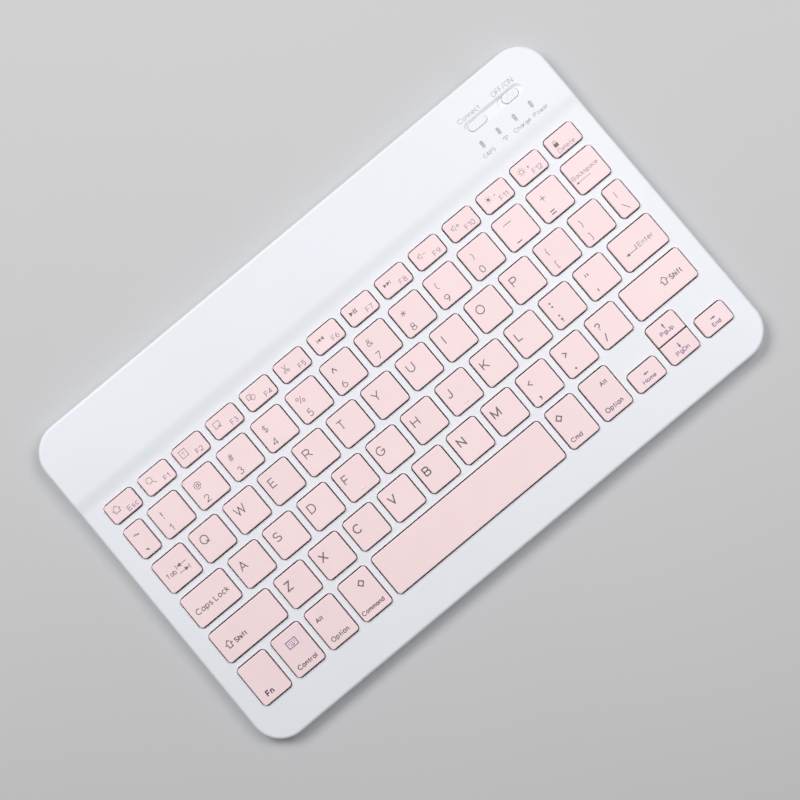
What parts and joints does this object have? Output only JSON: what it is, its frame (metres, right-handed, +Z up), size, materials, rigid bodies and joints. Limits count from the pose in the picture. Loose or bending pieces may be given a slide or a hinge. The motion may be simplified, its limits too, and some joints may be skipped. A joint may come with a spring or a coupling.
{
  "type": "tablet keyboard",
  "caption": "Slim free-standing wireless keyboard for a tablet, with low keycaps in a rounded case, a raised rear strip, a power slider, a pairing button and indicator windows.",
  "frame": {"origin": "middle of the footprint, at desk level under the rubber feet", "axes": "+X to the typist's right along the long side, +Y towards the rear edge, +Z up"},
  "size_m": [0.247, 0.15, 0.007],
  "materials": {
    "casing": "fine-grained satin white moulded plastic",
    "keycap": "smooth satin pale pink moulded plastic",
    "rubber_foot": "matt pale grey silicone rubber",
    "steel": "zinc-plated sheet and wire",
    "film": "printed polyester film",
    "silicone": "matt black silicone",
    "circuit_board": "green solder mask",
    "component": "black moulded component",
    "socket_metal": "drawn nickel-plated steel",
    "clear_lens": "smoky translucent light guide",
    "battery_pouch": "aluminised laminate pouch",
    "lead_sleeve": "flat insulated lead"
  },
  "bodies": {
    "case": {"backing_plate": "steel", "battery": "battery_pouch", "battery_lead": "lead_sleeve", "bottom_cover": "casing", "charging_socket": "socket_metal", "circuit_board": "circuit_board", "connect_switch": "component", "dome_sheet": "silicone", "front_foot": "rubber_foot", "light_guide": "clear_lens", "membrane_connector": "component", "power_switch": "component", "rear_foot": "rubber_foot", "switch_membrane": "film", "top_cover": "casing"},
    "function_row_keys": {"function_row_keys": "keycap"},
    "key_a": {"key_a": "keycap"},
    "key_arrow_down": {"key_arrow_down": "keycap"},
    "key_arrow_left": {"key_arrow_left": "keycap"},
    "key_arrow_right": {"key_arrow_right": "keycap"},
    "key_arrow_up": {"key_arrow_up": "keycap"},
    "key_b": {"key_b": "keycap"},
    "key_backspace": {"key_backspace": "keycap"},
    "key_c": {"key_c": "keycap"},
    "key_caps_lock": {"key_caps_lock": "keycap"},
    "key_d": {"key_d": "keycap"},
    "key_e": {"key_e": "keycap"},
    "key_enter": {"key_enter": "keycap"},
    "key_f": {"key_f": "keycap"},
    "key_g": {"key_g": "keycap"},
    "key_h": {"key_h": "keycap"},
    "key_i": {"key_i": "keycap"},
    "key_j": {"key_j": "keycap"},
    "key_k": {"key_k": "keycap"},
    "key_l": {"key_l": "keycap"},
    "key_left_shift": {"key_left_shift": "keycap"},
    "key_m": {"key_m": "keycap"},
    "key_n": {"key_n": "keycap"},
    "key_o": {"key_o": "keycap"},
    "key_p": {"key_p": "keycap"},
    "key_q": {"key_q": "keycap"},
    "key_r": {"key_r": "keycap"},
    "key_right_shift": {"key_right_shift": "keycap"},
    "key_s": {"key_s": "keycap"},
    "key_space": {"key_space": "keycap"},
    "key_t": {"key_t": "keycap"},
    "key_tab": {"key_tab": "keycap"},
    "key_u": {"key_u": "keycap"},
    "key_v": {"key_v": "keycap"},
    "key_w": {"key_w": "keycap"},
    "key_x": {"key_x": "keycap"},
    "key_y": {"key_y": "keycap"},
    "key_z": {"key_z": "keycap"},
    "left_modifier_keys": {"left_modifier_keys": "keycap"},
    "number_row_keys": {"number_row_keys": "keycap"},
    "punctuation_keys": {"punctuation_keys": "keycap"},
    "right_modifier_keys": {"right_modifier_keys": "keycap"},
    "power_slider": {"power_slider": "casing"},
    "connect_button": {"connect_button": "casing"},
    "space_bar_wire": {"space_bar_wire": "steel"}
  },
  "joints": [
    {"name": "power_slider_slide", "type": "slide", "parent": "case", "child": "power_slider", "axis": [-1, 0, 0], "range_m": [0, 0.002]},
    {"name": "connect_button_press", "type": "slide", "parent": "case", "child": "connect_button", "axis": [0, 0, -1], "range_m": [0, 0.0004], "stiffness_N_per_m": 40, "springref_m": -0.003},
    {"name": "key_space_press", "type": "slide", "parent": "case", "child": "key_space", "axis": [0, 0, -1], "range_m": [0, 0.0015], "stiffness_N_per_m": 40, "springref_m": -0.003, "deforming": ["dome_sheet"]},
    {"name": "space_bar_wire_turn", "type": "hinge", "parent": "case", "child": "space_bar_wire", "pos_m": [-0.00824, -0.0449, 0.00325], "axis": [1, 0, 0], "range_deg": [0, 14.71]},
    {"name": "function_row_keys_press", "type": "slide", "parent": "case", "child": "function_row_keys", "axis": [0, 0, -1], "range_m": [0, 0.0015], "stiffness_N_per_m": 40, "springref_m": -0.003, "deforming": ["dome_sheet"]},
    {"name": "key_a_press", "type": "slide", "parent": "case", "child": "key_a", "axis": [0, 0, -1], "range_m": [0, 0.0015], "stiffness_N_per_m": 40, "springref_m": -0.003, "deforming": ["dome_sheet"]},
    {"name": "key_arrow_down_press", "type": "slide", "parent": "case", "child": "key_arrow_down", "axis": [0, 0, -1], "range_m": [0, 0.0015], "stiffness_N_per_m": 40, "springref_m": -0.003, "deforming": ["dome_sheet"]},
    {"name": "key_arrow_left_press", "type": "slide", "parent": "case", "child": "key_arrow_left", "axis": [0, 0, -1], "range_m": [0, 0.0015], "stiffness_N_per_m": 40, "springref_m": -0.003, "deforming": ["dome_sheet"]},
    {"name": "key_arrow_right_press", "type": "slide", "parent": "case", "child": "key_arrow_right", "axis": [0, 0, -1], "range_m": [0, 0.0015], "stiffness_N_per_m": 40, "springref_m": -0.003, "deforming": ["dome_sheet"]},
    {"name": "key_arrow_up_press", "type": "slide", "parent": "case", "child": "key_arrow_up", "axis": [0, 0, -1], "range_m": [0, 0.0015], "stiffness_N_per_m": 40, "springref_m": -0.003, "deforming": ["dome_sheet"]},
    {"name": "key_b_press", "type": "slide", "parent": "case", "child": "key_b", "axis": [0, 0, -1], "range_m": [0, 0.0015], "stiffness_N_per_m": 40, "springref_m": -0.003, "deforming": ["dome_sheet"]},
    {"name": "key_backspace_press", "type": "slide", "parent": "case", "child": "key_backspace", "axis": [0, 0, -1], "range_m": [0, 0.0015], "stiffness_N_per_m": 40, "springref_m": -0.003, "deforming": ["dome_sheet"]},
    {"name": "key_c_press", "type": "slide", "parent": "case", "child": "key_c", "axis": [0, 0, -1], "range_m": [0, 0.0015], "stiffness_N_per_m": 40, "springref_m": -0.003, "deforming": ["dome_sheet"]},
    {"name": "key_caps_lock_press", "type": "slide", "parent": "case", "child": "key_caps_lock", "axis": [0, 0, -1], "range_m": [0, 0.0015], "stiffness_N_per_m": 40, "springref_m": -0.003, "deforming": ["dome_sheet"]},
    {"name": "key_d_press", "type": "slide", "parent": "case", "child": "key_d", "axis": [0, 0, -1], "range_m": [0, 0.0015], "stiffness_N_per_m": 40, "springref_m": -0.003, "deforming": ["dome_sheet"]},
    {"name": "key_e_press", "type": "slide", "parent": "case", "child": "key_e", "axis": [0, 0, -1], "range_m": [0, 0.0015], "stiffness_N_per_m": 40, "springref_m": -0.003, "deforming": ["dome_sheet"]},
    {"name": "key_enter_press", "type": "slide", "parent": "case", "child": "key_enter", "axis": [0, 0, -1], "range_m": [0, 0.0015], "stiffness_N_per_m": 40, "springref_m": -0.003, "deforming": ["dome_sheet"]},
    {"name": "key_f_press", "type": "slide", "parent": "case", "child": "key_f", "axis": [0, 0, -1], "range_m": [0, 0.0015], "stiffness_N_per_m": 40, "springref_m": -0.003, "deforming": ["dome_sheet"]},
    {"name": "key_g_press", "type": "slide", "parent": "case", "child": "key_g", "axis": [0, 0, -1], "range_m": [0, 0.0015], "stiffness_N_per_m": 40, "springref_m": -0.003, "deforming": ["dome_sheet"]},
    {"name": "key_h_press", "type": "slide", "parent": "case", "child": "key_h", "axis": [0, 0, -1], "range_m": [0, 0.0015], "stiffness_N_per_m": 40, "springref_m": -0.003, "deforming": ["dome_sheet"]},
    {"name": "key_i_press", "type": "slide", "parent": "case", "child": "key_i", "axis": [0, 0, -1], "range_m": [0, 0.0015], "stiffness_N_per_m": 40, "springref_m": -0.003, "deforming": ["dome_sheet"]},
    {"name": "key_j_press", "type": "slide", "parent": "case", "child": "key_j", "axis": [0, 0, -1], "range_m": [0, 0.0015], "stiffness_N_per_m": 40, "springref_m": -0.003, "deforming": ["dome_sheet"]},
    {"name": "key_k_press", "type": "slide", "parent": "case", "child": "key_k", "axis": [0, 0, -1], "range_m": [0, 0.0015], "stiffness_N_per_m": 40, "springref_m": -0.003, "deforming": ["dome_sheet"]},
    {"name": "key_l_press", "type": "slide", "parent": "case", "child": "key_l", "axis": [0, 0, -1], "range_m": [0, 0.0015], "stiffness_N_per_m": 40, "springref_m": -0.003, "deforming": ["dome_sheet"]},
    {"name": "key_left_shift_press", "type": "slide", "parent": "case", "child": "key_left_shift", "axis": [0, 0, -1], "range_m": [0, 0.0015], "stiffness_N_per_m": 40, "springref_m": -0.003, "deforming": ["dome_sheet"]},
    {"name": "key_m_press", "type": "slide", "parent": "case", "child": "key_m", "axis": [0, 0, -1], "range_m": [0, 0.0015], "stiffness_N_per_m": 40, "springref_m": -0.003, "deforming": ["dome_sheet"]},
    {"name": "key_n_press", "type": "slide", "parent": "case", "child": "key_n", "axis": [0, 0, -1], "range_m": [0, 0.0015], "stiffness_N_per_m": 40, "springref_m": -0.003, "deforming": ["dome_sheet"]},
    {"name": "key_o_press", "type": "slide", "parent": "case", "child": "key_o", "axis": [0, 0, -1], "range_m": [0, 0.0015], "stiffness_N_per_m": 40, "springref_m": -0.003, "deforming": ["dome_sheet"]},
    {"name": "key_p_press", "type": "slide", "parent": "case", "child": "key_p", "axis": [0, 0, -1], "range_m": [0, 0.0015], "stiffness_N_per_m": 40, "springref_m": -0.003, "deforming": ["dome_sheet"]},
    {"name": "key_q_press", "type": "slide", "parent": "case", "child": "key_q", "axis": [0, 0, -1], "range_m": [0, 0.0015], "stiffness_N_per_m": 40, "springref_m": -0.003, "deforming": ["dome_sheet"]},
    {"name": "key_r_press", "type": "slide", "parent": "case", "child": "key_r", "axis": [0, 0, -1], "range_m": [0, 0.0015], "stiffness_N_per_m": 40, "springref_m": -0.003, "deforming": ["dome_sheet"]},
    {"name": "key_right_shift_press", "type": "slide", "parent": "case", "child": "key_right_shift", "axis": [0, 0, -1], "range_m": [0, 0.0015], "stiffness_N_per_m": 40, "springref_m": -0.003, "deforming": ["dome_sheet"]},
    {"name": "key_s_press", "type": "slide", "parent": "case", "child": "key_s", "axis": [0, 0, -1], "range_m": [0, 0.0015], "stiffness_N_per_m": 40, "springref_m": -0.003, "deforming": ["dome_sheet"]},
    {"name": "key_t_press", "type": "slide", "parent": "case", "child": "key_t", "axis": [0, 0, -1], "range_m": [0, 0.0015], "stiffness_N_per_m": 40, "springref_m": -0.003, "deforming": ["dome_sheet"]},
    {"name": "key_tab_press", "type": "slide", "parent": "case", "child": "key_tab", "axis": [0, 0, -1], "range_m": [0, 0.0015], "stiffness_N_per_m": 40, "springref_m": -0.003, "deforming": ["dome_sheet"]},
    {"name": "key_u_press", "type": "slide", "parent": "case", "child": "key_u", "axis": [0, 0, -1], "range_m": [0, 0.0015], "stiffness_N_per_m": 40, "springref_m": -0.003, "deforming": ["dome_sheet"]},
    {"name": "key_v_press", "type": "slide", "parent": "case", "child": "key_v", "axis": [0, 0, -1], "range_m": [0, 0.0015], "stiffness_N_per_m": 40, "springref_m": -0.003, "deforming": ["dome_sheet"]},
    {"name": "key_w_press", "type": "slide", "parent": "case", "child": "key_w", "axis": [0, 0, -1], "range_m": [0, 0.0015], "stiffness_N_per_m": 40, "springref_m": -0.003, "deforming": ["dome_sheet"]},
    {"name": "key_x_press", "type": "slide", "parent": "case", "child": "key_x", "axis": [0, 0, -1], "range_m": [0, 0.0015], "stiffness_N_per_m": 40, "springref_m": -0.003, "deforming": ["dome_sheet"]},
    {"name": "key_y_press", "type": "slide", "parent": "case", "child": "key_y", "axis": [0, 0, -1], "range_m": [0, 0.0015], "stiffness_N_per_m": 40, "springref_m": -0.003, "deforming": ["dome_sheet"]},
    {"name": "key_z_press", "type": "slide", "parent": "case", "child": "key_z", "axis": [0, 0, -1], "range_m": [0, 0.0015], "stiffness_N_per_m": 40, "springref_m": -0.003, "deforming": ["dome_sheet"]},
    {"name": "left_modifier_keys_press", "type": "slide", "parent": "case", "child": "left_modifier_keys", "axis": [0, 0, -1], "range_m": [0, 0.0015], "stiffness_N_per_m": 40, "springref_m": -0.003, "deforming": ["dome_sheet"]},
    {"name": "number_row_keys_press", "type": "slide", "parent": "case", "child": "number_row_keys", "axis": [0, 0, -1], "range_m": [0, 0.0015], "stiffness_N_per_m": 40, "springref_m": -0.003, "deforming": ["dome_sheet"]},
    {"name": "punctuation_keys_press", "type": "slide", "parent": "case", "child": "punctuation_keys", "axis": [0, 0, -1], "range_m": [0, 0.0015], "stiffness_N_per_m": 40, "springref_m": -0.003, "deforming": ["dome_sheet"]},
    {"name": "right_modifier_keys_press", "type": "slide", "parent": "case", "child": "right_modifier_keys", "axis": [0, 0, -1], "range_m": [0, 0.0015], "stiffness_N_per_m": 40, "springref_m": -0.003, "deforming": ["dome_sheet"]}
  ],
  "couplings": [
    {"joint": "space_bar_wire_turn", "follows": "key_space_press", "rad_per_m": 170.63}
  ]
}
